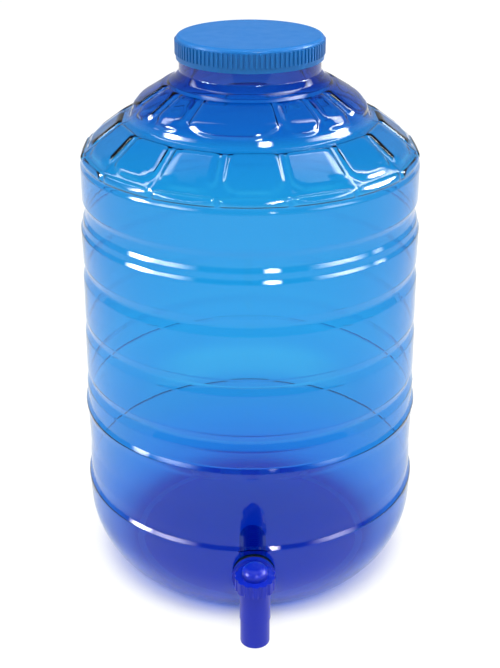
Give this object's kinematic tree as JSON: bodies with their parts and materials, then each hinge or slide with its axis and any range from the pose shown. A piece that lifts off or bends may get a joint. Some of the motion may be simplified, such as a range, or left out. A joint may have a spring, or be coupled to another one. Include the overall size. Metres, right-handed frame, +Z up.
{
  "type": "carboy with spigot",
  "caption": "Wide-mouth water jar blown in clear blue plastic, with faceted shoulder, ring grooves, ribbed screw cap and a turning tap low on the front.",
  "frame": {"origin": "on the jar's axis, in the plane it stands on", "axes": "+Z up along the jar's axis, tap towards -Y"},
  "size_m": [0.2714, 0.3185, 0.437],
  "materials": {
    "jar_plastic": "clear blue blown plastic, glossy",
    "cap_plastic": "satin moulded",
    "tap_plastic": "glossy moulded",
    "plug_plastic": "natural",
    "liner_foam": "foam sheet",
    "seal_rubber": "matt"
  },
  "bodies": {
    "jar": {"bottle": "jar_plastic", "tap_body": "tap_plastic", "flange_washer": "seal_rubber", "inner_washer": "seal_rubber", "backnut": "tap_plastic", "retaining_ring": "tap_plastic"},
    "liner": {"cap_liner": "liner_foam"},
    "cap": {"screw_cap": "cap_plastic"},
    "valve": {"valve_plug": "plug_plastic", "lower_o_ring": "seal_rubber", "upper_o_ring": "seal_rubber", "tap_knob": "tap_plastic"}
  },
  "joints": [
    {"name": "cap_lift", "type": "slide", "parent": "jar", "child": "liner", "axis": [0, 0, 1], "range_m": [0, 0.0081]},
    {"name": "cap_turn", "type": "hinge", "parent": "liner", "child": "cap", "pos_m": [0, 0, 0.43], "axis": [0, 0, 1], "range_deg": [0, 360]},
    {"name": "tap_turn", "type": "hinge", "parent": "jar", "child": "valve", "pos_m": [0, -0.168, 0.052], "axis": [0, 0, 1], "range_deg": [0, 90]}
  ],
  "couplings": [
    {"joint": "cap_lift", "follows": "cap_turn", "m_per_rad": 0.0012732}
  ]
}
